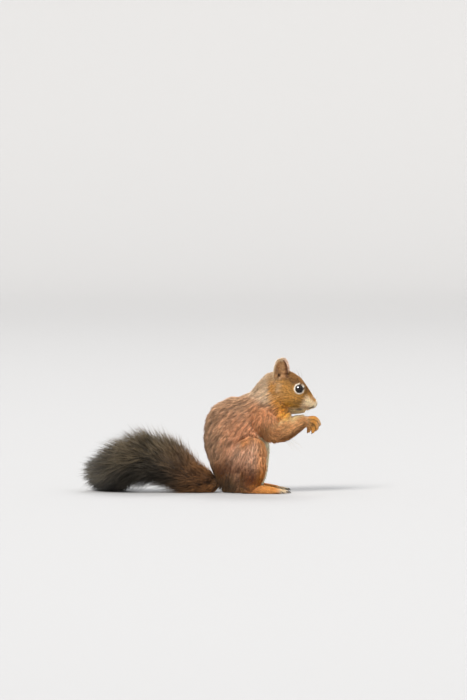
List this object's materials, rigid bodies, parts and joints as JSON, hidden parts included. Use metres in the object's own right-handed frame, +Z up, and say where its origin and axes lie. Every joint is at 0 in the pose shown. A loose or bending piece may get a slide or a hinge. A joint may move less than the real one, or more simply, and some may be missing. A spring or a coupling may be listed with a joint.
{
  "type": "red squirrel model",
  "caption": "Life-size still model of a red squirrel sitting up on its haunches, forepaws raised to its mouth, bushy dark tail arched behind and laid on the floor.",
  "frame": {"origin": "on the floor, below the middle of the box round the whole animal with its tail", "axes": "+X the way the animal faces, +Y its left side, +Z up from the floor it sits on"},
  "size_m": [0.2458, 0.0992, 0.141],
  "materials": {
    "coat_red": "short dense red-brown fur",
    "coat_orange": "very short orange fur of the arms and feet",
    "coat_tail": "long soft black-brown hair",
    "ear_skin": "thin skin under very short hair",
    "eye_dark": "polished, nearly black",
    "claw": "smooth dark horn",
    "whisker": "stiff dark hair"
  },
  "bodies": {
    "root": {"ear_left": "ear_skin", "ear_right": "ear_skin", "eye_left": "eye_dark", "eye_right": "eye_dark", "forearm_left": "coat_orange", "forearm_right": "coat_orange", "forepaw_left": "coat_orange", "forepaw_right": "coat_orange", "head": "coat_red", "hind_foot_left": "coat_orange", "hind_foot_right": "coat_orange", "neck": "coat_red", "shin_left": "coat_red", "shin_right": "coat_red", "tail_1": "coat_tail", "tail_2": "coat_tail", "tail_3": "coat_tail", "tail_4": "coat_tail", "tail_5": "coat_tail", "thigh_left": "coat_red", "thigh_right": "coat_red", "trunk": "coat_red", "upper_arm_left": "coat_red", "upper_arm_right": "coat_red"}
  },
  "joints": []
}
